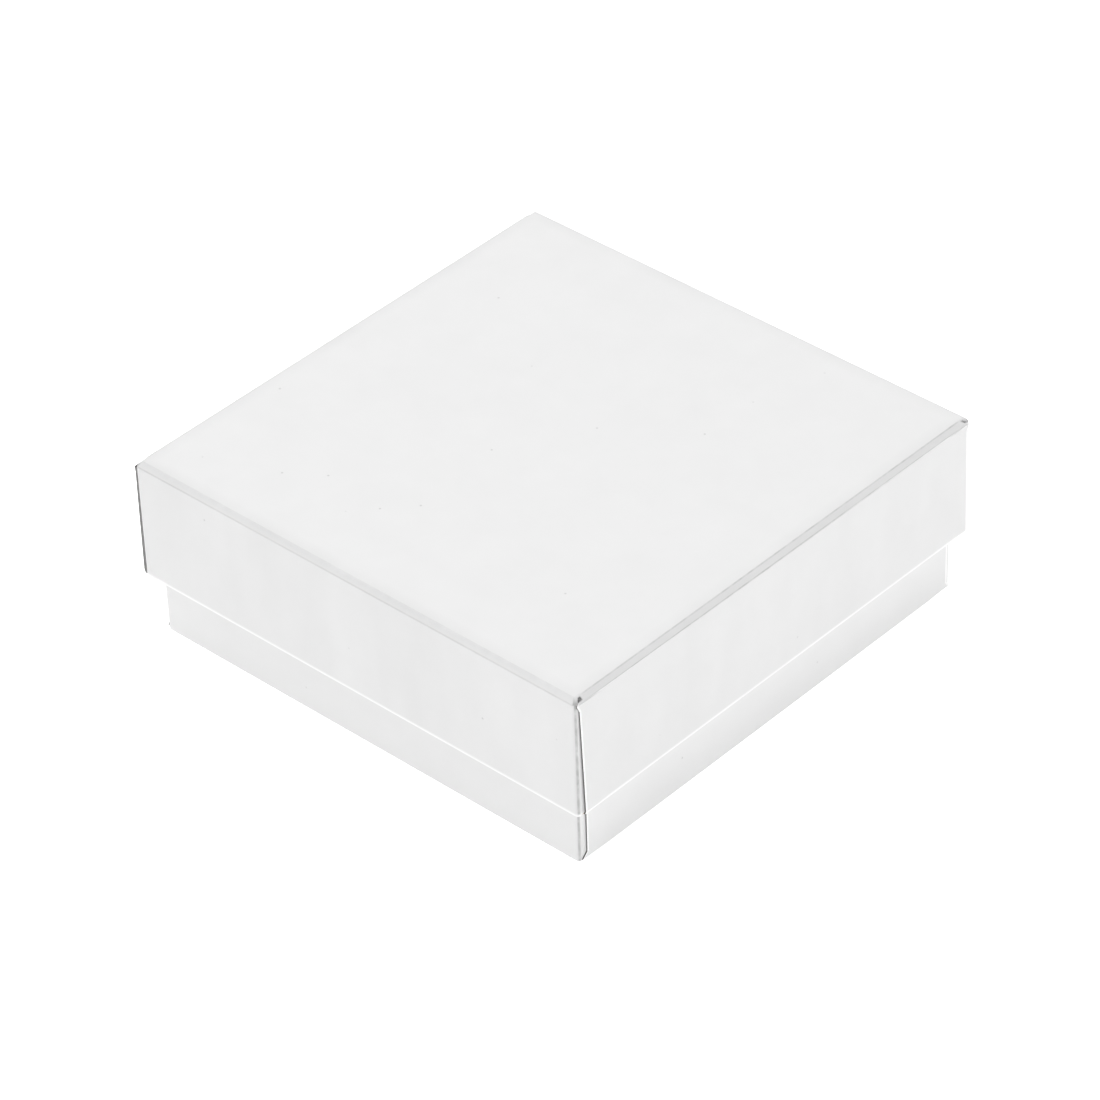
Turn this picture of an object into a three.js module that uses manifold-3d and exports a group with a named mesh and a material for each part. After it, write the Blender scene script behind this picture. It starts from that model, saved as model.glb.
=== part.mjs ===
// Two-piece jewelry gift box: a lift-off lid over a shallow base, with a loose fibre pad inside.
// Lid and base are built alike: one chipboard blank folded into a tray, a paper stay glued round
// each corner, and one sheet of white paper wrapped over all of it and turned in over the rim.
// Millimetres, +Z up. The origin is the middle of the underside and -Y is the front.

import * as THREE from "three";
import { mergeVertices } from "three/addons/utils/BufferGeometryUtils.js";
import Module from "manifold-3d";

const LID_SIDE = 90; // outside width and depth of the lid
const BOX_HEIGHT = 33; // outside height of the closed box
const LID_HEIGHT = 21.7; // outside height of the lid on its own
const BOARD = 1; // chipboard thickness
const PAPER = 0.2; // wrapping paper thickness
const TAPE = 0.1; // corner stay thickness
const GLUE = 0.05; // glue line between paper and board
const LAP = 0.15; // room on the walls between board and paper, where the corner stays lie
const SLIDE_FIT = 0.25; // clearance on each side between the lid's inside and the base's outside
const LID_REST = 0.05; // clearance between the lid's panel and the base's rim
const TURN_IN = 15; // paper folded over the rim and glued down inside
const SCORE = 0.8; // depth of the cut along each fold of the board
const SLIT = 0.1; // how far each wall stops short of its neighbour
const FOLD = 1.05; // width of the bevel that the paper makes over an opened score
const CORNER_RADIUS = 1.3; // upright corners, outside the paper
const INSIDE_CORNER = 0.3; // upright corners of the turned-in paper
const STAY_LEG = 12; // reach of a corner stay along each wall
const PAD_HEIGHT = 20;
const PAD_PLAY = 0.3; // gap between the pad and the walls on each side
const PAD_CORNER = 3;
const PAD_EDGE = 2.5; // rounding of the pad's top and bottom edges
const ARC_STEPS = 5; // facets in a quarter circle
const OVERCUT = 1; // how far a cutting solid reaches past the face that it opens

const wasm = await Module();
wasm.setup();

const PAPER_LOOK = { color: 0xf3f2f0, roughness: 0.6, metalness: 0 };
const BOARD_LOOK = { color: 0xd8d3c8, roughness: 0.9, metalness: 0 };
const TAPE_LOOK = { color: 0xbf9868, roughness: 0.8, metalness: 0 };
const FIBRE_LOOK = { color: 0xfaf9f5, roughness: 1, metalness: 0 };

// A closed three.js geometry as a solid that can be joined and cut.
function solidOf(geometry) {
  geometry.deleteAttribute("normal");
  geometry.deleteAttribute("uv");
  const merged = mergeVertices(geometry);
  return new wasm.Manifold(
    new wasm.Mesh({
      numProp: 3,
      vertProperties: new Float32Array(merged.attributes.position.array),
      triVerts: new Uint32Array(merged.index.array),
    }),
  );
}

function meshOf(name, solid, look) {
  const { vertProperties, triVerts } = solid.getMesh();
  const geometry = new THREE.BufferGeometry();
  geometry.setAttribute("position", new THREE.BufferAttribute(vertProperties, 3));
  geometry.setIndex(new THREE.BufferAttribute(triVerts, 1));
  geometry.computeVertexNormals();
  const mesh = new THREE.Mesh(geometry, new THREE.MeshStandardMaterial(look));
  mesh.name = name;
  return mesh;
}

// A square centred on the origin, reaching half each way, with round corners.
function roundedSquare(half, radius) {
  const flat = half - radius;
  const shape = new THREE.Shape();
  shape.absarc(flat, flat, radius, 0, Math.PI / 2);
  shape.absarc(-flat, flat, radius, Math.PI / 2, Math.PI);
  shape.absarc(-flat, -flat, radius, Math.PI, 1.5 * Math.PI);
  shape.absarc(flat, -flat, radius, 1.5 * Math.PI, 2 * Math.PI);
  shape.closePath();
  return shape;
}

// A box that is square in plan, reaching half each way, from zMin to zMax.
function block(half, zMin, zMax) {
  const geometry = new THREE.BoxGeometry(2 * half, 2 * half, zMax - zMin);
  return solidOf(geometry.translate(0, 0, (zMin + zMax) / 2));
}

// An upright box that reaches from one plan corner, at (near, near), out to (far, far).
function cornerBlock(near, far, zMin, zMax) {
  const middle = (near + far) / 2;
  const geometry = new THREE.BoxGeometry(far - near, far - near, zMax - zMin);
  return solidOf(geometry.translate(middle, middle, (zMin + zMax) / 2));
}

function prism(half, radius, zMin, zMax) {
  const geometry = new THREE.ExtrudeGeometry(roundedSquare(half, radius), {
    depth: zMax - zMin,
    bevelEnabled: false,
    curveSegments: ARC_STEPS,
  });
  return solidOf(geometry.translate(0, 0, zMin));
}

// A prism whose edges at zMin are bevelled by fold, cut off square at zMax.
function foldedPrism(half, radius, fold, zMin, zMax) {
  const geometry = new THREE.ExtrudeGeometry(roundedSquare(half, radius), {
    depth: zMax - zMin,
    bevelThickness: fold,
    bevelSize: fold,
    bevelOffset: -fold,
    bevelSegments: 1,
    curveSegments: ARC_STEPS,
  });
  const bevelled = solidOf(geometry.translate(0, 0, zMin + fold));
  return bevelled.subtract(block(half + OVERCUT, zMax, zMax + 2 * fold + OVERCUT));
}

function tube(outHalf, outRadius, inHalf, inRadius, zMin, zMax) {
  const hole = prism(inHalf, inRadius, zMin - OVERCUT, zMax + OVERCUT);
  return prism(outHalf, outRadius, zMin, zMax).subtract(hole);
}

// How far from the middle each layer of a tray's wall lies, from the outside in.
function wallLayers(half) {
  const paperIn = half - PAPER;
  const boardOut = paperIn - LAP;
  const boardIn = boardOut - BOARD;
  const turnOut = boardIn - GLUE;
  return { paperOut: half, paperIn, boardOut, boardIn, turnOut, turnIn: turnOut - PAPER };
}

// The folded blank. It lies on its panel with the rim up. Each fold's score stands open as a
// step outside, and the walls stop short of each other, so every upright corner is empty.
function trayBoard(wall, depth) {
  const panel = PAPER + GLUE;
  const rim = depth - PAPER - GLUE;
  const wide = block(wall.boardOut + OVERCUT, panel - OVERCUT, panel + SCORE);
  const openScore = wide.subtract(block(wall.boardOut - SCORE, panel - OVERCUT, panel + SCORE));
  const full = block(wall.boardOut, panel, rim);
  let board = full.subtract(block(wall.boardIn, panel + BOARD, rim + OVERCUT)).subtract(openScore);
  const column = cornerBlock(
    wall.boardIn - SLIT,
    wall.boardOut + OVERCUT,
    panel - OVERCUT,
    rim + OVERCUT,
  );
  for (let quarter = 0; quarter < 4; quarter += 1) {
    board = board.subtract(column.rotate([0, 0, 90 * quarter]));
  }
  return board;
}

// The paper: a skin over the panel and walls, the fold over the rim, and the turn-in.
function trayWrap(wall, depth) {
  const innerFold = FOLD - (2 - Math.SQRT2) * PAPER;
  const innerRadius = CORNER_RADIUS - PAPER;
  const room = foldedPrism(wall.paperIn, innerRadius, innerFold, PAPER, depth + OVERCUT);
  const skin = foldedPrism(wall.paperOut, CORNER_RADIUS, FOLD, 0, depth).subtract(room);
  const rim = tube(
    wall.paperOut,
    CORNER_RADIUS,
    wall.turnIn,
    INSIDE_CORNER,
    depth - PAPER,
    depth,
  );
  const turnIn = tube(
    wall.turnOut,
    INSIDE_CORNER,
    wall.turnIn,
    INSIDE_CORNER,
    depth - TURN_IN,
    depth,
  );
  return skin.add(rim).add(turnIn);
}

// One stay: a strip of tape bent round the empty upright corner where x and y are positive.
function cornerStay(wall, depth) {
  const slack = (LAP - TAPE) / 2;
  const out = wall.paperIn - slack;
  const outRadius = CORNER_RADIUS - PAPER - slack;
  const zMin = PAPER + FOLD;
  const zMax = depth - PAPER - GLUE;
  const strip = tube(out, outRadius, out - TAPE, outRadius - TAPE, zMin, zMax);
  return strip.intersect(cornerBlock(out - STAY_LEG, out + OVERCUT, zMin, zMax));
}

// Board, wrap and four stays of one tray, lying on its panel with the rim up.
// cornerNames runs anticlockwise in plan from the corner where x and y are positive.
function tray(name, half, depth, cornerNames) {
  const wall = wallLayers(half);
  const group = new THREE.Group();
  group.add(meshOf(`${name}_board`, trayBoard(wall, depth), BOARD_LOOK));
  group.add(meshOf(`${name}_wrap`, trayWrap(wall, depth), PAPER_LOOK));
  cornerNames.forEach((corner, quarter) => {
    const stay = meshOf(`${name}_corner_stay_${corner}`, cornerStay(wall, depth), TAPE_LOOK);
    stay.rotation.z = (quarter * Math.PI) / 2;
    group.add(stay);
  });
  return group;
}

// The pad lies loose on the base's floor.
function fibrePad(half) {
  const geometry = new THREE.ExtrudeGeometry(roundedSquare(half, PAD_CORNER), {
    depth: PAD_HEIGHT - 2 * PAD_EDGE,
    bevelThickness: PAD_EDGE,
    bevelSize: PAD_EDGE,
    bevelOffset: -PAD_EDGE,
    bevelSegments: 3,
    curveSegments: ARC_STEPS,
  });
  const pad = meshOf("fibre_pad", solidOf(geometry.translate(0, 0, PAD_EDGE)), FIBRE_LOOK);
  pad.position.z = PAPER + GLUE + BOARD + GLUE;
  return pad;
}

const CORNERS = ["back_right", "back_left", "front_left", "front_right"];
const lidHalf = LID_SIDE / 2;
const baseHalf = wallLayers(lidHalf).turnIn - SLIDE_FIT;
const baseDepth = BOX_HEIGHT - PAPER - GLUE - BOARD - LID_REST;

const giftBox = new THREE.Group();

giftBox.add(tray("base", baseHalf, baseDepth, CORNERS));

// The lid is turned over about X, which swaps front and back.
const lid = tray("lid", lidHalf, LID_HEIGHT, CORNERS.toReversed());
lid.rotation.x = Math.PI;
lid.position.z = BOX_HEIGHT;
giftBox.add(lid);

giftBox.add(fibrePad(wallLayers(baseHalf).turnIn - PAD_PLAY));

export default giftBox;
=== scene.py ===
"""Dresses a two-piece jewelry gift box: white paper wraps, chipboard, corner stays and a fibre pad."""

import math
import random

import bmesh
import bpy
from mathutils import Euler, Matrix, Vector, noise


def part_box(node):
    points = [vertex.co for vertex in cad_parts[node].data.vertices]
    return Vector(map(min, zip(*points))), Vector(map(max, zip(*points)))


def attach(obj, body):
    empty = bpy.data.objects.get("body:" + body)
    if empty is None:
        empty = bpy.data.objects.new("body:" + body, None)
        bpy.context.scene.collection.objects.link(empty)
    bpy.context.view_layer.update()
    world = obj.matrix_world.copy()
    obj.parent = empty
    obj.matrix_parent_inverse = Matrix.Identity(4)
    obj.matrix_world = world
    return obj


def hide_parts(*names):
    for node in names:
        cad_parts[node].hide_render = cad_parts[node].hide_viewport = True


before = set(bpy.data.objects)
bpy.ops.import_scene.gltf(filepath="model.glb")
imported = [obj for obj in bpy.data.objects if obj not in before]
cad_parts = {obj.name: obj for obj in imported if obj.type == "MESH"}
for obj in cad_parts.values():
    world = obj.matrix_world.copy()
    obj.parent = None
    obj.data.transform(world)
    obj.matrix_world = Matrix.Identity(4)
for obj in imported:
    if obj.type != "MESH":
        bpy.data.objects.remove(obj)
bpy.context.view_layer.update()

bl_info = {
    "name": "Jewelry Gift Box",
    "version": (1, 0, 0),
    "blender": (4, 5, 0),
    "location": "View3D > Sidebar > Gift Box",
    "description": "Wraps a lift-off lid box in paper, fills it and sets it on a studio table",
    "category": "Object",
}

MM = 0.001
NEAR = 0.002 * MM
MERGE = 0.001 * MM
SMOOTH_BELOW = math.radians(40)

# Folded paper.
CORNER_STEPS = 6
CREASE_RADIUS = 0.45 * MM
CREASE_STEPS = 3
RIM_RADIUS = 0.4 * MM
RIM_STEPS = 4
HIP_TIGHTENING = 0.85  # how much of its radius a corner loses between wall and panel
RIM_HIGHLIGHT_STRIP = 0.4 * MM  # strip below the rim's turn, over which the painted highlight on the rim fades out

# Flaps. A cut is how far a flap's end stays short of the corner, under the bevel and at the rim,
# for its front and its back end with the tray on its panel.
BASE_CUTS = {
    "right": ((1.56 * MM, 1.46 * MM), (1.1 * MM, 1.3 * MM)),
    "left": ((0.9 * MM, 1.2 * MM), (1.3 * MM, 1.0 * MM)),
}
LID_CUTS = {
    "right": ((0.9 * MM, 0.7 * MM), (0.72 * MM, 1.27 * MM)),
    "left": ((0.6 * MM, 0.9 * MM), (0.25 * MM, 0.2 * MM)),
}
FLAP_COLUMNS = 12
WALL_ROWS = 4
END_STRIPS = (0.22 * MM, 0.45 * MM, 1.2 * MM, 5 * MM)  # columns next to each cut end
NOTCH = 0.5 * MM  # how far a flap starts from the panel's corner
NIP_SHARE = 0.35  # how much of its cut an end has where the bevel starts
NIP_REACH = 1.1 * MM  # height over which it takes the rest
PRESSED_REACH = 0.6 * MM  # ends pressed flat over the bevel
LIFT_REACH = 3.5 * MM  # ends that stand off the wall
MITRE = 4 * MM  # how far a flap narrows inside the tray

# Painted shade on the creases and corners and painted highlight on the cut edges, the rim and some
# bevels, as marks on the paper's points, and the darkening of walls and borders as a share of the
# light that the paper takes.
LID_OUTER_DARKENING = 0.09
BASE_OUTER_DARKENING = 0.02
# painted shade up the middle of an upright corner's bend
CORNER_PAINTED_SHADE = 1.6
# deeper painted shade at the foot of a corner's bend, on the hips and behind the flaps' lifted ends
DEEP_PAINTED_SHADE = 2.2
# how far the wall starts above the bevel: the strip that takes the deeper painted shade on the corners
DEEP_SHADE_REACH = 0.6 * MM
HIP_WIDTH = 0.5 * MM
MID_BEND = 0.7  # the part of a corner's radius that counts as the middle of its bend
# painted shade on the creases of the sides without flaps; those with flaps take a full mark
SOFT_CREASE = 0.5
# painted highlight on the bevels of the sides without flaps
BEVEL_HIGHLIGHT = 0.2
CUT_MARK = 0.5  # a painted highlight above this lies on a cut end or a rim

# The pad and its loose strands.
VOXEL = 1.6 * MM
PAD_SHRINK = 0.7 * MM
PAD_PRESSURE = 4.0
PAD_STIFFNESS = 8.0
PAD_FRAMES = 20
PAD_PLAY = 0.2 * MM  # how far it may pass its cut size towards the walls
PAD_SINK = 0.4 * MM  # how far its top stays below its cut height
LUMP = 0.55 * MM
LUMP_SIZE = 9 * MM
TUFT_SHARE = 0.35
TUFT_SIZE = 2.5 * MM
FIBRE_SEED = 7
FIBRE_SHAPES = 8
FIBRE_LENGTH = 7 * MM
FIBRE_HEIGHT = 0.45 * MM
FIBRE_SWAY = 0.16
FIBRE_LEAN = 0.12
FIBRE_SIZES = (0.6, 1.5)
FIBRE_ROOM = 0.35 * MM  # how far strands may rise over the pad's cut height
UPWARD = 0.35  # faces that lean up more than this hold strands

# The stage. A softbox is its azimuth, its elevation and the brightness that it alone gives white.
FLOOR_SIDE = 3.0
LIGHT_DISTANCE = 2.0
SOFTBOX_SIDE = 1.5
SOFTBOXES = {
    "left_softbox": (math.radians(-50), math.radians(60), 0.45),
    "right_softbox": (math.radians(112), math.radians(37), 0.25),
    "back_softbox": (math.radians(-136.5), math.radians(62), 0.35),
}
TENT_LEVEL = 0.31
GLOW = 0.5


def colour(code):
    """A linear colour with alpha from an sRGB hex code."""
    channels = [int(code[i : i + 2], 16) / 255 for i in (1, 3, 5)]
    linear = [c / 12.92 if c <= 0.04045 else ((c + 0.055) / 1.055) ** 2.4 for c in channels]
    return (*linear, 1.0)


# ---------------------------------------------------------------- settings


class PaperSettings(bpy.types.PropertyGroup):
    """The white paper that covers lid and base."""

    tint: bpy.props.FloatVectorProperty(
        name="Paper",
        description="Colour of the covering paper",
        subtype="COLOR",
        size=4,
        min=0,
        max=1,
        default=colour("#EEEEEE"),
    )
    # painted shade: the cut edges are drawn dark grey for the shadow in the gaps beside them
    edge_shade_tint: bpy.props.FloatVectorProperty(
        name="Cut edge",
        description="Colour of the paper's cut edges",
        subtype="COLOR",
        size=4,
        min=0,
        max=1,
        default=colour("#6A6764"),
    )
    thickness: bpy.props.FloatProperty(
        name="Thickness",
        description="Thickness of the paper",
        unit="LENGTH",
        default=0.15 * MM,
    )
    layer: bpy.props.FloatProperty(
        name="Layer",
        description="How far a tab lies below the flap that is glued over it",
        unit="LENGTH",
        default=0.18 * MM,
    )
    fold: bpy.props.FloatProperty(
        name="Fold width",
        description="How far the paper's bevel along the panel reaches in from the wall",
        unit="LENGTH",
        default=0.8 * MM,
    )
    corner: bpy.props.FloatProperty(
        name="Corner",
        description="Radius of the upright corners",
        unit="LENGTH",
        default=0.75 * MM,
    )
    rim_width: bpy.props.FloatProperty(
        name="Rim width",
        description="Width of the rim with paper on both sides of the board",
        unit="LENGTH",
        default=1.6 * MM,
    )
    turn_in: bpy.props.FloatProperty(
        name="Turn-in",
        description="How far the paper runs down inside from the rim",
        unit="LENGTH",
        default=15 * MM,
    )
    lift: bpy.props.FloatProperty(
        name="Edge lift",
        description="How far a flap's cut edge stands off the tab beneath",
        unit="LENGTH",
        default=0.18 * MM,
    )


class LiningSettings(bpy.types.PropertyGroup):
    """The board and the tape under the paper, and the pad inside."""

    board_tint: bpy.props.FloatVectorProperty(
        name="Chipboard",
        description="Colour of the board",
        subtype="COLOR",
        size=4,
        min=0,
        max=1,
        default=colour("#CFC8BA"),
    )
    tape_tint: bpy.props.FloatVectorProperty(
        name="Corner stays",
        description="Colour of the gummed tape",
        subtype="COLOR",
        size=4,
        min=0,
        max=1,
        default=colour("#B98F5F"),
    )
    fibre_tint: bpy.props.FloatVectorProperty(
        name="Fibre",
        description="Colour of the pad's fibre",
        subtype="COLOR",
        size=4,
        min=0,
        max=1,
        default=colour("#FDFDFB"),
    )
    loft: bpy.props.FloatProperty(
        name="Loft",
        description="How far the pad may swell over its cut shape",
        unit="LENGTH",
        default=1.8 * MM,
    )
    fibre_count: bpy.props.IntProperty(
        name="Loose fibres",
        description="How many fibres stand off the pad",
        default=1100,
        min=0,
        max=4000,
    )
    fibre_thickness: bpy.props.FloatProperty(
        name="Fibre thickness",
        description="Thickness of a loose fibre, drawn a few times coarser than real fill",
        unit="LENGTH",
        default=0.07 * MM,
    )


class StageSettings(bpy.types.PropertyGroup):
    """The table, the lights and the camera."""

    floor_tint: bpy.props.FloatVectorProperty(
        name="Table",
        description="Colour of the table",
        subtype="COLOR",
        size=4,
        min=0,
        max=1,
        default=colour("#FCFCFC"),
    )
    azimuth: bpy.props.FloatProperty(
        name="Azimuth",
        description="How far the camera stands round from the front towards +X",
        subtype="ANGLE",
        default=math.radians(43.5),
    )
    elevation: bpy.props.FloatProperty(
        name="Elevation",
        description="How far the camera looks down",
        subtype="ANGLE",
        default=math.radians(37.43),
    )
    roll: bpy.props.FloatProperty(
        name="Roll",
        description="How far the camera leans over",
        subtype="ANGLE",
        default=math.radians(2.14),
    )
    distance: bpy.props.FloatProperty(
        name="Distance",
        description="From the camera to the point that it looks at",
        unit="LENGTH",
        default=774 * MM,
    )
    aim: bpy.props.FloatVectorProperty(
        name="Aim",
        description="The point that the camera looks at",
        subtype="XYZ_LENGTH",
        size=3,
        default=(3.53 * MM, -5.36 * MM, 16.65 * MM),
    )
    lens: bpy.props.FloatProperty(
        name="Lens",
        description="Focal length on a 36 mm sensor",
        unit="CAMERA",
        default=166.0,
    )


class GiftBoxSettings(bpy.types.PropertyGroup):
    """Everything about the gift box that can be changed."""

    paper: bpy.props.PointerProperty(type=PaperSettings)
    lining: bpy.props.PointerProperty(type=LiningSettings)
    stage: bpy.props.PointerProperty(type=StageSettings)


# ---------------------------------------------------------------- modelling


def deselect():
    bpy.ops.object.select_all(action="DESELECT")


def activate(piece):
    deselect()
    bpy.context.view_layer.objects.active = piece
    piece.select_set(True)


def open_mesh(piece):
    """Opens a piece for editing with nothing selected."""
    activate(piece)
    bpy.ops.object.mode_set(mode="EDIT")
    bpy.ops.mesh.select_all(action="DESELECT")


def close_mesh():
    bpy.ops.object.mode_set(mode="OBJECT")


def added(name):
    """The object that was just added, with a name."""
    piece = bpy.context.object
    piece.name = name
    piece.data.name = name
    return piece


def pick(kind, test):
    """Selects the open mesh's vertices, edges or faces whose corners all pass the test."""
    bpy.ops.mesh.select_mode(type=kind)
    bpy.ops.mesh.select_all(action="DESELECT")
    mesh = bmesh.from_edit_mesh(bpy.context.object.data)
    parts = {"VERT": mesh.verts, "EDGE": mesh.edges, "FACE": mesh.faces}[kind]
    for part in parts:
        corners = [part] if kind == "VERT" else part.verts
        if all(test(corner.co) for corner in corners):
            part.select_set(True)
    mesh.select_flush_mode()
    bmesh.update_edit_mesh(bpy.context.object.data)


def pick_edges(test):
    """Selects the open mesh's edges whose two ends pass the test together."""
    bpy.ops.mesh.select_mode(type="EDGE")
    bpy.ops.mesh.select_all(action="DESELECT")
    mesh = bmesh.from_edit_mesh(bpy.context.object.data)
    for edge in mesh.edges:
        if test(*(corner.co for corner in edge.verts)):
            edge.select_set(True)
    mesh.select_flush_mode()
    bmesh.update_edit_mesh(bpy.context.object.data)


def near(a, b, reach=NEAR):
    return abs(a - b) < reach


def scale_about(centre, x=1.0, y=1.0, z=1.0):
    bpy.ops.transform.resize(value=(x, y, z), center_override=centre)


def shift(x=0.0, y=0.0, z=0.0):
    bpy.ops.transform.translate(value=(x, y, z))


def apply_modifier(piece, kind, **settings):
    """Adds a modifier with its settings and applies it."""
    activate(piece)
    modifier = piece.modifiers.new(kind.title(), kind)
    for name, value in settings.items():
        setattr(modifier, name, value)
    bpy.ops.object.modifier_apply(modifier=modifier.name)


def join(name, pieces):
    """Joins pieces into one with a name."""
    activate(pieces[0])
    for piece in pieces[1:]:
        piece.select_set(True)
    if len(pieces) > 1:
        bpy.ops.object.join()
    return added(name)


def paint(piece, *materials):
    piece.data.materials.clear()
    for material in materials:
        piece.data.materials.append(material)


def place_in_mesh(piece):
    """Moves a piece's place from its object into its mesh."""
    activate(piece)
    bpy.ops.object.transform_apply(location=True, rotation=True, scale=True)


# ---------------------------------------------------------------- materials


def new_material(name):
    """A material with one shader: the material, its node tree and the shader node."""
    material = bpy.data.materials.new(name)
    material.use_nodes = True
    tree = material.node_tree
    tree.nodes.clear()
    shader = tree.nodes.new("ShaderNodeBsdfPrincipled")
    output = tree.nodes.new("ShaderNodeOutputMaterial")
    tree.links.new(shader.outputs["BSDF"], output.inputs["Surface"])
    return material, tree, shader


def add_node(tree, kind, links=None, inputs=None, **settings):
    """Adds a node with its settings, the values of its inputs and the links to its inputs."""
    node = tree.nodes.new("ShaderNode" + kind)
    for name, value in settings.items():
        setattr(node, name, value)
    for name, value in (inputs or {}).items():
        node.inputs[name].default_value = value
    for name, socket in (links or {}).items():
        tree.links.new(socket, node.inputs[name])
    return node


def coated_wrap_paper(half, outer_darkening):
    """Machine-made wood pulp paper with a thin clay coating: near white, evenly semi-matt, with a
    faint cloudiness, a very low fibre relief and a few specks of dust. Painted shade darkens its
    folds and corners, and a painted highlight brightens its cut edges and rim.

    Half is the tray's reach from the middle, and the other argument is how much darker its walls and
    the panel's borders are."""
    settings = bpy.context.scene.gift_box.paper
    material, tree, shader = new_material("coated_wrap_paper")
    place = add_node(tree, "TexCoord").outputs["Object"]

    # Clouds of pulp about 6 mm across, and felt of 0.6 mm, coarser than fibre so that it shows.
    clouds = add_node(tree, "TexNoise", {"Vector": place}, {"Scale": 1 / (6 * MM), "Detail": 3.0})
    felt = add_node(tree, "TexNoise", {"Vector": place}, {"Scale": 1 / (0.6 * MM), "Detail": 2.0})
    mottle = add_node(
        tree,
        "Mix",
        {"Factor": clouds.outputs["Fac"]},
        {"A": 0.955, "B": 1.0},
        data_type="FLOAT",
    )

    # Specks of dust of 0.1 to 0.25 mm in a 6 mm cell, few of which reach the surface.
    grains = add_node(
        tree,
        "TexVoronoi",
        {"Vector": place},
        {"Scale": 1 / (6 * MM), "Randomness": 1.0},
    )
    speck = add_node(
        tree,
        "MapRange",
        {"Value": grains.outputs["Distance"]},
        {"From Min": 0.016, "From Max": 0.042, "To Min": 0.78, "To Max": 1.0},
    )
    dusty = add_node(tree, "Math", {0: mottle.outputs[0], 1: speck.outputs[0]}, operation="MULTIPLY")

    # Painted shade from the fold marks, broken up by noise: a thin grey line along each crease, and
    # darker on the corners' bends, the hips and the flaps' undersides.
    fold = add_node(tree, "Attribute", attribute_name="fold")
    shade_noise = add_node(tree, "TexNoise", {"Vector": place}, {"Scale": 1 / (1.5 * MM), "Detail": 2.0})
    crease_shade = add_node(
        tree,
        "Math",
        {0: fold.outputs["Fac"], 1: shade_noise.outputs["Fac"]},
        operation="MULTIPLY",
    )
    shade_tone = add_node(
        tree,
        "MapRange",
        {"Value": crease_shade.outputs[0]},
        {"From Min": 0.0, "From Max": 1.0, "To Min": 1.0, "To Max": 0.62},
    )
    dust_and_shade = add_node(tree, "Math", {0: dusty.outputs[0], 1: shade_tone.outputs[0]}, operation="MULTIPLY")

    # The walls and the panel's 3 mm borders are darker, in upright patches 8 mm across.
    apart = add_node(tree, "SeparateXYZ", {"Vector": place})
    out_x = add_node(tree, "Math", {0: apart.outputs["X"]}, operation="ABSOLUTE")
    out_y = add_node(tree, "Math", {0: apart.outputs["Y"]}, operation="ABSOLUTE")
    outmost = add_node(tree, "Math", {0: out_x.outputs[0], 1: out_y.outputs[0]}, operation="MAXIMUM")
    border = add_node(
        tree,
        "MapRange",
        {"Value": outmost.outputs[0]},
        {"From Min": half - 3 * MM, "From Max": half - 0.8 * MM, "To Min": 0.0, "To Max": outer_darkening},
    )
    upright = add_node(tree, "Mapping", {"Vector": place}, {"Scale": (1.0, 1.0, 0.3)})
    upright_patches = add_node(
        tree,
        "TexNoise",
        {"Vector": upright.outputs["Vector"]},
        {"Scale": 1 / (8 * MM), "Detail": 2.0},
    )
    outer_darkness = add_node(
        tree,
        "Math",
        {0: border.outputs[0], 1: upright_patches.outputs["Fac"]},
        operation="MULTIPLY",
    )
    outer_tone = add_node(tree, "Math", {1: outer_darkness.outputs[0]}, {0: 1.0}, operation="SUBTRACT")
    tone = add_node(tree, "Math", {0: dust_and_shade.outputs[0], 1: outer_tone.outputs[0]}, operation="MULTIPLY")
    shaded = add_node(
        tree,
        "Mix",
        {"Factor": tone.outputs[0]},
        {"A": (0.0, 0.0, 0.0, 1.0), "B": settings.tint},
        data_type="RGBA",
    )

    # Painted highlight, mixed towards white, along the flaps' cut edges, over the rim and more weakly
    # on the bevels of the sides without flaps.
    painted_highlight = add_node(tree, "Attribute", attribute_name="painted_highlight")
    highlighted = add_node(
        tree,
        "Mix",
        {"Factor": painted_highlight.outputs["Fac"], "A": shaded.outputs["Result"]},
        {"B": colour("#FFFFFF")},
        data_type="RGBA",
    )
    tree.links.new(highlighted.outputs["Result"], shader.inputs["Base Color"])

    relief = add_node(
        tree,
        "Bump",
        {"Height": felt.outputs["Fac"]},
        {"Strength": 0.25, "Distance": 0.02 * MM},
    )
    tree.links.new(relief.outputs["Normal"], shader.inputs["Normal"])
    gloss = add_node(
        tree,
        "MapRange",
        {"Value": clouds.outputs["Fac"]},
        {"To Min": 0.46, "To Max": 0.58},
    )
    tree.links.new(gloss.outputs[0], shader.inputs["Roughness"])
    shader.inputs["IOR"].default_value = 1.5
    return material


def cut_edge_painted_shade():
    """The same paper where the knife opened it, uncoated and fibrous, drawn dark grey as painted shade
    for the shadow in the narrow gaps beside the cuts.
    """
    settings = bpy.context.scene.gift_box.paper
    material, tree, shader = new_material("cut_edge_painted_shade")
    place = add_node(tree, "TexCoord").outputs["Object"]
    edge_noise = add_node(tree, "TexNoise", {"Vector": place}, {"Scale": 1 / (0.8 * MM), "Detail": 3.0})
    shaded = add_node(
        tree,
        "Mix",
        {"Factor": edge_noise.outputs["Fac"]},
        {"A": colour("#403E3C"), "B": settings.edge_shade_tint},
        data_type="RGBA",
    )
    tree.links.new(shaded.outputs["Result"], shader.inputs["Base Color"])
    shader.inputs["Roughness"].default_value = 0.9
    return material


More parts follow.
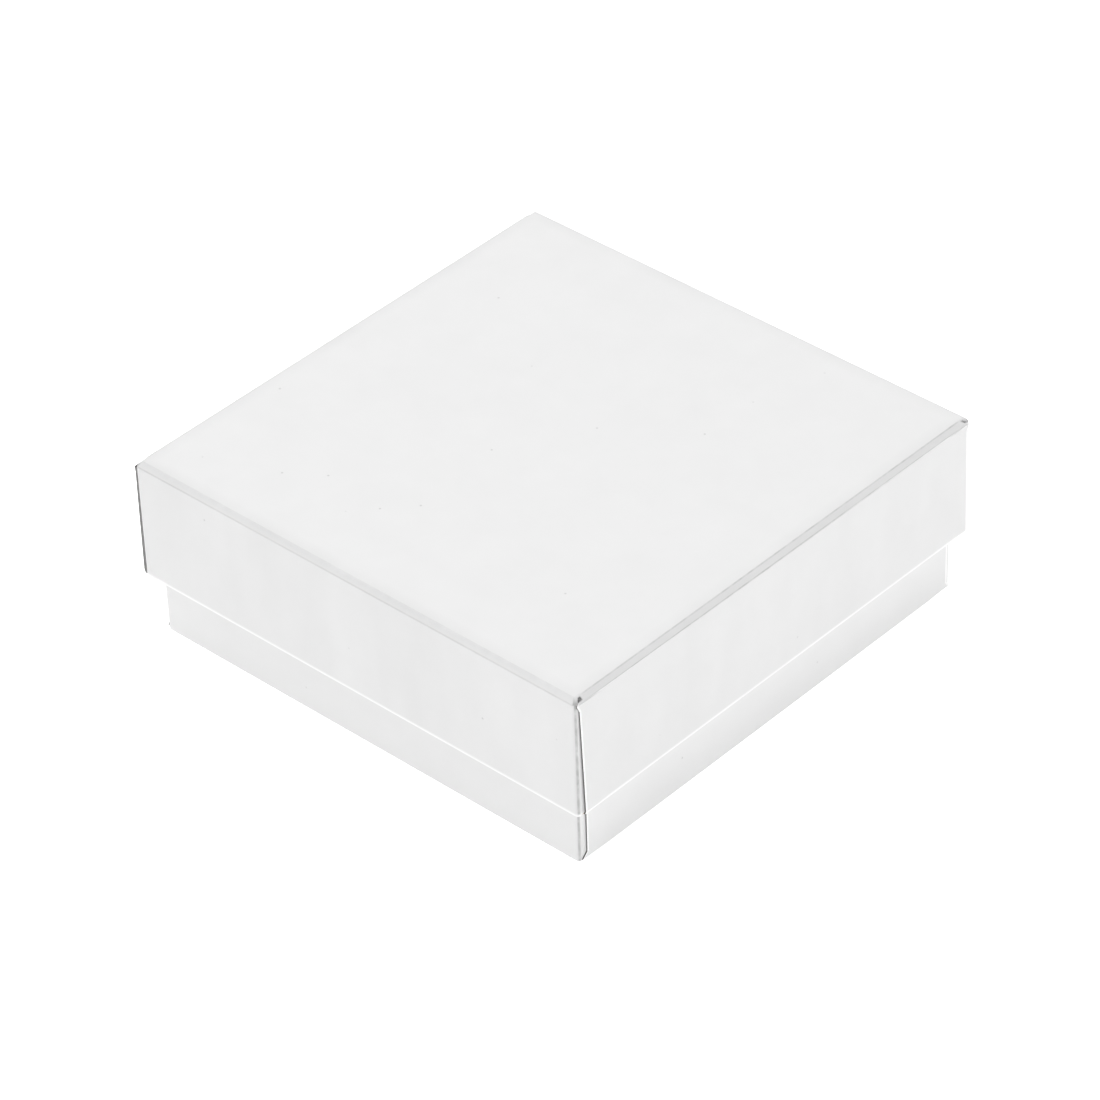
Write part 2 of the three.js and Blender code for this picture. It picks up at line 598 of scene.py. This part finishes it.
def grey_chipboard():
    """Recycled pulp board pressed between rolls: warm grey, with flecks of old print and fibre."""
    settings = bpy.context.scene.gift_box.lining
    material, tree, shader = new_material("grey_chipboard")
    place = add_node(tree, "TexCoord").outputs["Object"]
    pulp = add_node(tree, "TexNoise", {"Vector": place}, {"Scale": 1 / (4 * MM), "Detail": 5.0})
    flecks = add_node(
        tree,
        "TexVoronoi",
        {"Vector": place},
        {"Scale": 1 / (1.3 * MM), "Randomness": 1.0},
    )
    base = add_node(
        tree,
        "Mix",
        {"Factor": pulp.outputs["Fac"]},
        {"A": colour("#B8B0A0"), "B": settings.board_tint},
        data_type="RGBA",
    )
    fleck = add_node(
        tree,
        "MapRange",
        {"Value": flecks.outputs["Distance"]},
        {"From Min": 0.08, "From Max": 0.16, "To Min": 0.55, "To Max": 0.0},
    )
    shaded = add_node(
        tree,
        "Mix",
        {"Factor": fleck.outputs[0], "A": base.outputs["Result"], "B": flecks.outputs["Color"]},
        data_type="RGBA",
        blend_type="MULTIPLY",
    )
    tree.links.new(shaded.outputs["Result"], shader.inputs["Base Color"])
    relief = add_node(
        tree,
        "Bump",
        {"Height": pulp.outputs["Fac"]},
        {"Strength": 0.5, "Distance": 0.08 * MM},
    )
    tree.links.new(relief.outputs["Normal"], shader.inputs["Normal"])
    shader.inputs["Roughness"].default_value = 0.88
    shader.inputs["IOR"].default_value = 1.45
    return material


def gummed_kraft_tape():
    """Unbleached sulphate paper with a starch gum: tan, with long darker fibres and a slight shine."""
    settings = bpy.context.scene.gift_box.lining
    material, tree, shader = new_material("gummed_kraft_tape")
    place = add_node(tree, "TexCoord").outputs["Object"]
    upright = add_node(tree, "Mapping", {"Vector": place}, {"Scale": (1.0, 1.0, 0.15)})
    fibre = add_node(
        tree,
        "TexNoise",
        {"Vector": upright.outputs["Vector"]},
        {"Scale": 1 / (0.5 * MM), "Detail": 4.0},
    )
    shaded = add_node(
        tree,
        "Mix",
        {"Factor": fibre.outputs["Fac"]},
        {"A": colour("#94693C"), "B": settings.tape_tint},
        data_type="RGBA",
    )
    tree.links.new(shaded.outputs["Result"], shader.inputs["Base Color"])
    relief = add_node(
        tree,
        "Bump",
        {"Height": fibre.outputs["Fac"]},
        {"Strength": 0.4, "Distance": 0.03 * MM},
    )
    tree.links.new(relief.outputs["Normal"], shader.inputs["Normal"])
    shader.inputs["Roughness"].default_value = 0.62
    shader.inputs["IOR"].default_value = 1.5
    return material


def carded_polyester_fill(name):
    """Crimped polyester staple, carded and laid in a loose bat: white, soft-edged, with tangled
    strands over shallow hollows, light that seeps 1 mm into it, and a bloom at grazing angles."""
    settings = bpy.context.scene.gift_box.lining
    material, tree, shader = new_material(name)
    place = add_node(tree, "TexCoord").outputs["Object"]

    # Strands 0.35 mm apart, warped by 3 mm tangles. Real ones are 0.02 mm, too fine to show.
    tangle = add_node(tree, "TexNoise", {"Vector": place}, {"Scale": 1 / (3 * MM), "Detail": 3.0})
    bent = add_node(
        tree,
        "VectorMath",
        {0: tangle.outputs["Color"], 2: place},
        {1: (5 * MM, 5 * MM, 5 * MM)},
        operation="MULTIPLY_ADD",
    )
    strands = add_node(
        tree,
        "TexWave",
        {"Vector": bent.outputs["Vector"]},
        {"Scale": 1 / (7 * MM), "Distortion": 9.0, "Detail": 3.0, "Detail Scale": 2.0},
        bands_direction="DIAGONAL",
    )
    hollows = add_node(tree, "TexNoise", {"Vector": place}, {"Scale": 1 / (5 * MM), "Detail": 4.0})
    height = add_node(
        tree,
        "Mix",
        {"A": hollows.outputs["Fac"], "B": strands.outputs["Fac"]},
        {"Factor": 0.35},
        data_type="FLOAT",
    )
    shaded = add_node(
        tree,
        "Mix",
        {"Factor": height.outputs[0]},
        {"A": colour("#F6F5F2"), "B": settings.fibre_tint},
        data_type="RGBA",
    )
    tree.links.new(shaded.outputs["Result"], shader.inputs["Base Color"])
    relief = add_node(
        tree,
        "Bump",
        {"Height": height.outputs[0]},
        {"Strength": 0.5, "Distance": 0.4 * MM},
    )
    tree.links.new(relief.outputs["Normal"], shader.inputs["Normal"])
    shader.inputs["Roughness"].default_value = 0.95
    shader.inputs["Subsurface Weight"].default_value = 0.4
    shader.inputs["Subsurface Radius"].default_value = (1.0, 1.0, 1.0)
    shader.inputs["Subsurface Scale"].default_value = 1 * MM
    shader.inputs["Sheen Weight"].default_value = 0.35
    shader.inputs["Sheen Roughness"].default_value = 0.5
    return material


def painted_studio_board(tint):
    """A sprayed matt white board under the box, evenly lit from behind as a light table is."""
    material, tree, shader = new_material("painted_studio_board")
    place = add_node(tree, "TexCoord").outputs["Object"]
    spray = add_node(tree, "TexNoise", {"Vector": place}, {"Scale": 1 / (2 * MM), "Detail": 2.0})
    relief = add_node(
        tree,
        "Bump",
        {"Height": spray.outputs["Fac"]},
        {"Strength": 0.05, "Distance": 0.02 * MM},
    )
    tree.links.new(relief.outputs["Normal"], shader.inputs["Normal"])
    shader.inputs["Base Color"].default_value = tint
    shader.inputs["Roughness"].default_value = 0.9
    shader.inputs["Specular IOR Level"].default_value = 0.2
    shader.inputs["Emission Color"].default_value = tint
    shader.inputs["Emission Strength"].default_value = GLOW
    return material


# ---------------------------------------------------------------- paper


def crease_points(fold):
    """The bevel from panel to wall as (inset, height) pairs, with both creases rounded."""
    bend = math.radians(45)
    reach = CREASE_RADIUS * math.tan(bend / 2)
    upper = []
    for step in range(CREASE_STEPS + 1):
        turn = bend * step / CREASE_STEPS
        inset = fold + reach - CREASE_RADIUS * math.sin(turn)
        upper.append((inset, CREASE_RADIUS * (1 - math.cos(turn))))
    lower = [(height, inset) for inset, height in reversed(upper)]
    return upper + lower


def rim_points(width, depth, turn_in):
    """The paper from the wall over the rim and down inside, as (inset, height) pairs."""
    outer = []
    for step in range(RIM_STEPS + 1):
        turn = math.radians(90) * step / RIM_STEPS
        inset = RIM_RADIUS * (1 - math.cos(turn))
        outer.append((inset, depth - RIM_RADIUS * (1 - math.sin(turn))))
    inner = [(width - inset, height) for inset, height in reversed(outer)]
    return outer + inner + [(width, depth - turn_in)]


def blend_between(first, last, share):
    return first + (last - first) * share


def tighten_corner(x, y, z, ratio, reach):
    """Draws the panel's points near one corner in towards its sharp corner."""
    pick(
        "VERT",
        lambda p: near(p.z, z) and abs(p.x - x) < 2 * reach and abs(p.y - y) < 2 * reach,
    )
    scale_about((x, y, z), x=ratio, y=ratio)


def cover(half, depth):
    """Panel, all four walls and the tabs on the X sides, as one open skin with its rim up."""
    paper = bpy.context.scene.gift_box.paper
    half_x = half - paper.layer
    bevel = crease_points(paper.fold)
    wall_start = bevel[-1][1] + DEEP_SHADE_REACH
    wall_end = depth - RIM_RADIUS - RIM_HIGHLIGHT_STRIP
    deselect()
    bpy.ops.mesh.primitive_cube_add(size=1, location=(0, 0, (wall_start + wall_end) / 2))
    piece = added("cover")
    piece.scale = (2 * half_x, 2 * half, wall_end - wall_start)
    place_in_mesh(piece)
    open_mesh(piece)
    pick_edges(lambda a, b: not near(a.z, b.z))
    bpy.ops.mesh.bevel(offset=paper.corner, segments=CORNER_STEPS, affect="EDGES")

    # From the wall up over the bevel to the panel. The corners tighten on the way.
    pick("FACE", lambda p: near(p.z, wall_start))
    size = (half_x, half)
    radius = paper.corner
    height = wall_start
    for inset, next_height in reversed(bevel):
        next_size = (half_x - inset, half - inset)
        next_radius = paper.corner * (1 - HIP_TIGHTENING * inset / bevel[0][0])
        bpy.ops.mesh.extrude_region_move(
            TRANSFORM_OT_translate={"value": (0, 0, next_height - height)}
        )
        scale_about((0, 0, 0), x=next_size[0] / size[0], y=next_size[1] / size[1])
        for side_x in (-1, 1):
            for side_y in (-1, 1):
                x = side_x * next_size[0]
                y = side_y * next_size[1]
                tighten_corner(x, y, next_height, next_radius / radius, paper.corner)
        pick("FACE", lambda p, level=next_height: near(p.z, level))
        size = next_size
        radius = next_radius
        height = next_height

    # Over the rim and down inside. The sides under the flaps lie one layer lower.
    pick("FACE", lambda p: near(p.z, wall_end))
    bpy.ops.mesh.delete(type="ONLY_FACE")
    pick("VERT", lambda p: near(p.z, wall_end) and near(abs(p.x), half_x))
    shift(z=-paper.layer)
    pick("EDGE", lambda p: p.z > wall_end - 2 * paper.layer)
    inner_ratio = (paper.rim_width - 2 * paper.layer) / paper.rim_width
    size = (half_x, half)
    height = wall_end
    for inset, next_height in rim_points(paper.rim_width, depth, paper.turn_in):
        next_size = (half_x - inset * inner_ratio, half - inset)
        bpy.ops.mesh.extrude_edges_move(
            TRANSFORM_OT_translate={"value": (0, 0, next_height - height)}
        )
        scale_about((0, 0, 0), x=next_size[0] / size[0], y=next_size[1] / size[1])
        size = next_size
        height = next_height
    close_mesh()
    return piece


def flap(half, depth, front_cut, back_cut):
    """The flap glued over the tabs on the +X side, from the panel over the rim and down inside.

    Each of its two ends has a cut. The scissors leave it nearer to the corner at the bevel."""
    paper = bpy.context.scene.gift_box.paper
    bevel = crease_points(paper.fold)
    crease_start = bevel[0][0]
    wall_start = bevel[-1][1]
    wall_end = depth - RIM_RADIUS - RIM_HIGHLIGHT_STRIP
    panel_end = half - crease_start
    start_end = panel_end - NOTCH
    rows = []
    for inset, height in bevel[1:]:
        ends = [
            blend_between(start_end, half - NIP_SHARE * cut[0], height / wall_start)
            for cut in (front_cut, back_cut)
        ]
        rows.append((inset, height, ends))
    shares = [NIP_REACH / (wall_end - wall_start)]
    shares += [step / WALL_ROWS for step in range(1, WALL_ROWS + 1)]
    for share in shares:
        ends = [half - blend_between(*cut, share) for cut in (front_cut, back_cut)]
        rows.append((0.0, blend_between(wall_start, wall_end, share), ends))
    inner_end = half - paper.rim_width - RIM_RADIUS
    for inset, height in rim_points(paper.rim_width, depth, paper.turn_in)[:-1]:
        share = inset / paper.rim_width
        ends = [blend_between(half - cut[1], inner_end, share) for cut in (front_cut, back_cut)]
        rows.append((inset, height, ends))
    mitred_end = inner_end - MITRE
    rows.append((paper.rim_width, depth - paper.turn_in, [mitred_end, mitred_end]))

    inner_x = panel_end - paper.layer
    deselect()
    bpy.ops.mesh.primitive_plane_add(size=1, location=((inner_x + panel_end) / 2, 0, 0))
    piece = added("flap")
    piece.scale = (panel_end - inner_x, 2 * start_end, 1)
    place_in_mesh(piece)
    open_mesh(piece)
    pick_edges(lambda a, b: near(a.x, b.x))
    bpy.ops.mesh.subdivide(number_cuts=FLAP_COLUMNS - 1)
    column = 2 * start_end / FLAP_COLUMNS
    for side in (-1, 1):
        for step, strip in enumerate(END_STRIPS, start=1):
            place = side * (start_end - step * column)
            pick("VERT", lambda p, place=place: near(p.y, place))
            shift(y=side * (step * column - strip))
    pick("EDGE", lambda p: near(p.x, panel_end))
    x = panel_end
    z = 0.0
    span = (-start_end, start_end)
    for inset, height, ends in rows:
        next_span = (-ends[0], ends[1])
        bpy.ops.mesh.extrude_edges_move(
            TRANSFORM_OT_translate={"value": (half - inset - x, 0, height - z)}
        )
        middle = (span[0] + span[1]) / 2
        scale_about((0, middle, 0), y=(next_span[1] - next_span[0]) / (span[1] - span[0]))
        shift(y=(next_span[0] + next_span[1]) / 2 - middle)
        x = half - inset
        z = height
        span = next_span

    # The cut ends are pressed flat over the bevel, and stand off the wall most near the rim.
    pick("VERT", lambda p: p.z < wall_start - NEAR and abs(p.y) > start_end - PRESSED_REACH)
    shift(x=-paper.layer / 2, z=paper.layer / 2)
    for share in shares:
        level = blend_between(wall_start, wall_end, share)
        pick(
            "VERT",
            lambda p, level=level: near(p.x, half)
            and near(p.z, level)
            and abs(p.y) > half - LIFT_REACH,
        )
        shift(x=paper.lift * math.sqrt(share))
    close_mesh()
    mark_cut_end_highlights(piece, half - paper.rim_width / 2, paper.fold)
    return piece


def mark_cut_end_highlights(piece, middle, fold):
    """Marks a painted highlight along a flap's two cut edges below the bevel."""
    marks = piece.data.attributes.new("painted_highlight", "FLOAT", "POINT")
    ends = {}
    rows = []
    for point in piece.data.vertices:
        row = (point.co.x > middle, round(point.co.z / NEAR), point.co.y > 0)
        ends[row] = max(ends.get(row, 0.0), abs(point.co.y))
        rows.append(row)
    for point, row, mark in zip(piece.data.vertices, rows, marks.data):
        cut_end = abs(point.co.y) > ends[row] - 1.5 * END_STRIPS[0]
        mark.value = 1.0 if cut_end and point.co.z > fold else 0.0


def wrapped_tray(name, half, depth, cuts, outer_darkening):
    """One sheet of paper over a tray that lies on its panel, with its rim up."""
    paper = bpy.context.scene.gift_box.paper
    right = flap(half, depth, *cuts["right"])
    left = flap(half, depth, *reversed(cuts["left"]))
    open_mesh(left)
    bpy.ops.mesh.select_all(action="SELECT")
    bpy.ops.transform.rotate(value=math.pi, orient_axis="Z", center_override=(0, 0, 0))
    close_mesh()
    piece = join(name, [cover(half, depth), right, left])
    open_mesh(piece)
    bpy.ops.mesh.select_all(action="SELECT")
    bpy.ops.mesh.remove_doubles(threshold=MERGE)
    close_mesh()
    face_out(piece)
    paint(piece, coated_wrap_paper(half, outer_darkening), cut_edge_painted_shade())
    outer = len(piece.data.vertices)
    apply_modifier(
        piece,
        "SOLIDIFY",
        thickness=paper.thickness,
        offset=-1,
        use_even_offset=True,
        material_offset_rim=1,
    )
    mark_painted_light(piece, half, depth, paper.fold)
    shade_undersides(piece, outer)
    activate(piece)
    bpy.ops.object.shade_smooth_by_angle(angle=SMOOTH_BELOW)
    apply_modifier(piece, "WEIGHTED_NORMAL", keep_sharp=True, weight=100)
    return piece


def face_out(piece):
    """Turns each loose part of an open skin the way that its outermost faces should point."""
    mesh = bmesh.new()
    mesh.from_mesh(piece.data)
    todo = set(mesh.faces)
    while todo:
        island = [todo.pop()]
        for face in island:
            for edge in face.edges:
                for other in edge.link_faces:
                    if other in todo:
                        todo.remove(other)
                        island.append(other)
        bmesh.ops.recalc_face_normals(mesh, faces=island)
        mesh.normal_update()
        lowest = min(island, key=lambda face: face.calc_center_median().z)
        if lowest.normal.z > 0:
            bmesh.ops.reverse_faces(mesh, faces=island)
    mesh.to_mesh(piece.data)
    mesh.free()


def on_bend(place, half):
    """Whether a point lies on the middle of an upright corner's bend."""
    corner = bpy.context.scene.gift_box.paper.corner
    from_x = half - abs(place.x)
    from_y = half - abs(place.y)
    return max(from_x, from_y) < MID_BEND * corner and min(from_x, from_y) > NEAR


def mark_painted_light(piece, half, depth, fold):
    """Marks painted shade on the creases, the corners' bends and the hips, and a painted highlight
    over the rim and the bevels of the sides without flaps, for the material.
    """
    marks = piece.data.attributes.new("fold", "FLOAT", "POINT")
    highlights = piece.data.attributes["painted_highlight"]
    reach = CREASE_RADIUS / 4
    for point, mark, highlight in zip(piece.data.vertices, marks.data, highlights.data):
        place = point.co
        inset = half - max(abs(place.x), abs(place.y))
        under_flap = abs(place.x) > abs(place.y)
        to_panel_crease = math.hypot(inset - fold, place.z)
        to_wall_crease = math.hypot(inset, place.z - fold)
        on_hip = abs(abs(place.x) - abs(place.y)) < HIP_WIDTH and NEAR < place.z < fold
        # painted shade: deepest on the hips and the foot of each corner's bend, thin lines along the
        # creases, lighter up the middle of each bend
        if on_hip and inset < fold:
            mark.value = DEEP_PAINTED_SHADE * place.z / fold
        elif min(to_panel_crease, to_wall_crease) < reach:
            mark.value = 1.0 if under_flap else SOFT_CREASE
        elif on_bend(place, half) and place.z > fold:
            in_deep_shade = place.z < fold + DEEP_SHADE_REACH
            mark.value = DEEP_PAINTED_SHADE if in_deep_shade else CORNER_PAINTED_SHADE
        # painted highlight over the rim and, weaker, on the bevels of the sides without flaps
        if inset < RIM_RADIUS and place.z > depth - RIM_RADIUS - NEAR:
            highlight.value = 1.0
        elif not under_flap and NEAR < place.z < fold and inset + place.z < fold + NEAR:
            highlight.value = BEVEL_HIGHLIGHT


def shade_undersides(piece, outer):
    """Paints shade on the paper's back behind the painted edge highlights, for the dark gap under the
    lifted flap ends, and takes the highlight off there. The outer skin's points come first.
    """
    marks = piece.data.attributes["fold"]
    highlights = piece.data.attributes["painted_highlight"]
    for mark, highlight in zip(marks.data[outer:], highlights.data[outer:]):
        if highlight.value > CUT_MARK:
            mark.value = DEEP_PAINTED_SHADE
            highlight.value = 0.0


# ---------------------------------------------------------------- pad


def fibre_pad_shell(name):
    """A loose bat of fibre: the cut pad blown up a little by its own spring."""
    lining = bpy.context.scene.gift_box.lining
    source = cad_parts["fibre_pad"]
    low, high = (Vector(corner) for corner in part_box("fibre_pad"))
    middle = (low + high) / 2
    piece = bpy.data.objects.new(name, source.data.copy())
    bpy.context.scene.collection.objects.link(piece)
    open_mesh(piece)
    bpy.ops.mesh.select_all(action="SELECT")
    bpy.ops.mesh.remove_doubles(threshold=MERGE)
    shrink = [1 - 2 * PAD_SHRINK / size for size in (high - low)]
    scale_about(tuple(middle), x=shrink[0], y=shrink[1], z=shrink[2])
    close_mesh()
    apply_modifier(piece, "REMESH", mode="VOXEL", voxel_size=VOXEL)
    rest = [point.co.copy() for point in piece.data.vertices]
    swell(piece)
    for point, start in zip(piece.data.vertices, rest):
        moved = point.co - start
        if moved.length > lining.loft:
            moved *= lining.loft / moved.length
        point.co = start + moved
    apply_modifier(piece, "SUBSURF", levels=1, render_levels=1)
    lay_lumps(piece, low, high)
    activate(piece)
    bpy.ops.object.shade_smooth()
    return piece


def swell(piece):
    """Lets the pad spring out by a cloth simulation and keeps the result."""
    activate(piece)
    cloth = piece.modifiers.new("Spring", "CLOTH")
    cloth.settings.use_pressure = True
    cloth.settings.uniform_pressure_force = PAD_PRESSURE
    cloth.settings.quality = 4
    cloth.settings.mass = 0.2
    cloth.settings.tension_stiffness = PAD_STIFFNESS
    cloth.settings.compression_stiffness = PAD_STIFFNESS
    cloth.settings.bending_stiffness = 0.3
    cloth.settings.effector_weights.gravity = 0
    cloth.point_cache.frame_start = 1
    cloth.point_cache.frame_end = PAD_FRAMES
    for step in range(1, PAD_FRAMES + 1):
        bpy.context.scene.frame_set(step)
    bpy.ops.object.modifier_apply(modifier=cloth.name)
    bpy.context.scene.frame_set(1)


def lay_lumps(piece, low, high):
    """Gives the pad the shallow lumps of carded fibre, flat below and clear of walls and lid."""
    outward = [point.normal.copy() for point in piece.data.vertices]
    for point, normal in zip(piece.data.vertices, outward):
        lump = noise.fractal(point.co / LUMP_SIZE, 1.0, 2.0, 3)
        tuft = noise.fractal(point.co / TUFT_SIZE, 1.0, 2.0, 3)
        place = point.co + normal * (LUMP * lump + TUFT_SHARE * LUMP * tuft)
        place.x = min(high.x + PAD_PLAY, max(low.x - PAD_PLAY, place.x))
        place.y = min(high.y + PAD_PLAY, max(low.y - PAD_PLAY, place.y))
        place.z = max(low.z, place.z)
        point.co = place
    top = max(point.co.z for point in piece.data.vertices)
    ratio = (high.z - PAD_SINK - low.z) / (top - low.z)
    open_mesh(piece)
    bpy.ops.mesh.select_all(action="SELECT")
    scale_about((0, 0, low.z), z=ratio)
    close_mesh()


def loose_fibres(name, pad):
    """Short crimped strands that stand a little off the pad's top, inside the base's walls."""
    lining = bpy.context.scene.gift_box.lining
    high = Vector(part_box("fibre_pad")[1]) + Vector((0.0, 0.0, FIBRE_ROOM))
    dice = random.Random(FIBRE_SEED)
    strands = [crimped_strand(dice) for _ in range(FIBRE_SHAPES)]
    tops = [face for face in pad.data.polygons if face.normal.z > UPWARD]
    points = []
    faces = []
    for _ in range(lining.fibre_count):
        face = dice.choice(tops)
        tilt = (dice.gauss(0, FIBRE_LEAN), dice.gauss(0, FIBRE_LEAN))
        lean = Euler((*tilt, dice.uniform(0, 2 * math.pi)))
        onto = face.normal.to_track_quat("Z", "Y").to_matrix().to_4x4()
        size = Matrix.Scale(dice.uniform(*FIBRE_SIZES), 4)
        place = Matrix.Translation(face.center) @ onto @ lean.to_matrix().to_4x4() @ size
        strand = dice.choice(strands)
        laid = [place @ point.co for point in strand.vertices]
        if any(abs(p.x) > high.x or abs(p.y) > high.y or p.z > high.z for p in laid):
            continue
        first = len(points)
        points += laid
        faces += [[first + corner for corner in side.vertices] for side in strand.polygons]
    data = bpy.data.meshes.new(name)
    data.from_pydata(points, [], faces)
    piece = bpy.data.objects.new(name, data)
    bpy.context.scene.collection.objects.link(piece)
    activate(piece)
    bpy.ops.object.shade_smooth()
    return piece


def crimped_strand(dice):
    """The mesh of one strand, modelled as a curve with its thickness."""
    lining = bpy.context.scene.gift_box.lining
    deselect()
    bpy.ops.curve.primitive_bezier_curve_add(enter_editmode=False)
    curve = bpy.context.object
    spline = curve.data.splines[0]
    spline.bezier_points.add(1)
    for step, point in enumerate(spline.bezier_points):
        along = FIBRE_LENGTH * (step / 2 - 0.5)
        point.handle_left_type = "AUTO"
        point.handle_right_type = "AUTO"
        rise = FIBRE_HEIGHT * dice.uniform(0.5, 1.6) if step == 1 else -0.2 * FIBRE_HEIGHT
        point.co = (along, dice.gauss(0, FIBRE_SWAY) * FIBRE_LENGTH, rise)
    curve.data.resolution_u = 4
    curve.data.bevel_depth = lining.fibre_thickness / 2
    curve.data.bevel_resolution = 0
    curve.data.use_fill_caps = True
    bpy.ops.object.convert(target="MESH")
    strand = bpy.context.object
    mesh = strand.data
    bpy.data.objects.remove(strand)
    return mesh


# ---------------------------------------------------------------- stage


def soft_light(name, azimuth, elevation, level):
    """A square softbox that faces the box."""
    across = math.cos(elevation)
    direction = Vector(
        (math.sin(azimuth) * across, -math.cos(azimuth) * across, math.sin(elevation))
    )
    bpy.ops.object.light_add(type="AREA", location=direction * LIGHT_DISTANCE)
    lamp = bpy.context.object
    lamp.name = name
    lamp.rotation_euler = direction.to_track_quat("Z", "Y").to_euler()
    lamp.data.shape = "SQUARE"
    lamp.data.size = SOFTBOX_SIDE
    lamp.data.energy = level * math.pi**2 * LIGHT_DISTANCE**2
    return lamp


def studio_camera():
    """The camera, at its azimuth and elevation round the aim, leaning by its roll."""
    stage = bpy.context.scene.gift_box.stage
    across = math.cos(stage.elevation)
    direction = Vector(
        (
            math.sin(stage.azimuth) * across,
            -math.cos(stage.azimuth) * across,
            math.sin(stage.elevation),
        )
    )
    place = Vector(stage.aim) + direction * stage.distance
    bpy.ops.object.camera_add(location=place)
    camera = bpy.context.object
    camera.name = "product_camera"
    facing = direction.to_track_quat("Z", "Y")
    lean = Euler((0, 0, -stage.roll)).to_quaternion()
    camera.rotation_euler = (facing @ lean).to_euler()
    camera.data.lens = stage.lens
    camera.data.sensor_width = 36
    camera.data.clip_start = 0.01
    bpy.context.scene.camera = camera


def sky(level):
    """An even white tent round the table."""
    world = bpy.data.worlds.new("studio_tent")
    world.use_nodes = True
    tent = world.node_tree.nodes["Background"]
    tent.inputs["Color"].default_value = (1.0, 1.0, 1.0, 1.0)
    tent.inputs["Strength"].default_value = level
    bpy.context.scene.world = world


# ---------------------------------------------------------------- operators


def finish_cad_nodes(word, material):
    """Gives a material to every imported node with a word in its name."""
    chosen = [node for name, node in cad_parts.items() if word in name]
    if not chosen:
        raise RuntimeError(f"the frame has no node named after {word}")
    for node in chosen:
        if not node.material_slots:
            node.data.materials.append(material)
        for place in node.material_slots:
            place.material = material


class GIFTBOX_OT_wrap_trays(bpy.types.Operator):
    """Cover the base and the lid, each with one sheet of white paper"""

    bl_idname = "giftbox.wrap_trays"
    bl_label = "Wrap Trays"

    def execute(self, context):
        low, high = (Vector(corner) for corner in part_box("base_wrap"))
        base = wrapped_tray("base_paper", high.x, high.z - low.z, BASE_CUTS, BASE_OUTER_DARKENING)
        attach(base, "base")
        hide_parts("base_wrap")

        low, high = (Vector(corner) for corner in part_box("lid_wrap"))
        lid = wrapped_tray("lid_paper", high.x, high.z - low.z, LID_CUTS, LID_OUTER_DARKENING)
        open_mesh(lid)
        bpy.ops.mesh.select_all(action="SELECT")
        bpy.ops.transform.rotate(
            value=math.pi, orient_axis="X", center_override=(0, 0, high.z / 2)
        )
        close_mesh()
        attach(lid, "lid")
        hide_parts("lid_wrap")
        return {"FINISHED"}


class GIFTBOX_OT_face_boards(bpy.types.Operator):
    """Give the folded blanks their grey chipboard"""

    bl_idname = "giftbox.face_boards"
    bl_label = "Face Boards"

    def execute(self, context):
        finish_cad_nodes("board", grey_chipboard())
        return {"FINISHED"}


class GIFTBOX_OT_tape_corners(bpy.types.Operator):
    """Give the corner stays their gummed tape"""

    bl_idname = "giftbox.tape_corners"
    bl_label = "Tape Corners"

    def execute(self, context):
        finish_cad_nodes("stay", gummed_kraft_tape())
        return {"FINISHED"}


class GIFTBOX_OT_fill_base(bpy.types.Operator):
    """Lay the fibre pad and its loose strands in the base"""

    bl_idname = "giftbox.fill_base"
    bl_label = "Fill Base"

    def execute(self, context):
        pad = fibre_pad_shell("fibre_pad_fill")
        paint(pad, carded_polyester_fill("carded_polyester_fill"))
        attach(pad, "pad")
        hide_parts("fibre_pad")
        strands = loose_fibres("loose_fibres", pad)
        paint(strands, carded_polyester_fill("loose_polyester_strand"))
        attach(strands, "pad")
        return {"FINISHED"}


class GIFTBOX_OT_set_stage(bpy.types.Operator):
    """Set up the table, the softboxes and the camera"""

    bl_idname = "giftbox.set_stage"
    bl_label = "Set Stage"

    def execute(self, context):
        deselect()
        bpy.ops.mesh.primitive_plane_add(size=FLOOR_SIDE)
        floor = added("studio_table")
        paint(floor, painted_studio_board(context.scene.gift_box.stage.floor_tint))
        for name, facts in SOFTBOXES.items():
            soft_light(name, *facts)
        sky(TENT_LEVEL)
        studio_camera()
        scene = context.scene
        scene.view_settings.view_transform = "Standard"
        scene.view_settings.look = "None"
        return {"FINISHED"}


class GIFTBOX_PT_panel(bpy.types.Panel):
    """Lists the gift box's steps and sizes"""

    bl_label = "Gift Box"
    bl_idname = "GIFTBOX_PT_panel"
    bl_space_type = "VIEW_3D"
    bl_region_type = "UI"
    bl_category = "Gift Box"

    def draw(self, context):
        settings = context.scene.gift_box
        for step in STEPS:
            self.layout.operator(step.bl_idname)
        for group in (settings.paper, settings.lining, settings.stage):
            box = self.layout.box()
            for name in group.__annotations__:
                box.prop(group, name)


STEPS = (
    GIFTBOX_OT_wrap_trays,
    GIFTBOX_OT_face_boards,
    GIFTBOX_OT_tape_corners,
    GIFTBOX_OT_fill_base,
    GIFTBOX_OT_set_stage,
)
CLASSES = (PaperSettings, LiningSettings, StageSettings, GiftBoxSettings, *STEPS, GIFTBOX_PT_panel)


def register():
    for part in CLASSES:
        bpy.utils.register_class(part)
    bpy.types.Scene.gift_box = bpy.props.PointerProperty(type=GiftBoxSettings)


def unregister():
    del bpy.types.Scene.gift_box
    for part in reversed(CLASSES):
        bpy.utils.unregister_class(part)


def main():
    register()
    bpy.ops.giftbox.wrap_trays()
    bpy.ops.giftbox.face_boards()
    bpy.ops.giftbox.tape_corners()
    bpy.ops.giftbox.fill_base()
    bpy.ops.giftbox.set_stage()


if __name__ == "__main__":
    main()
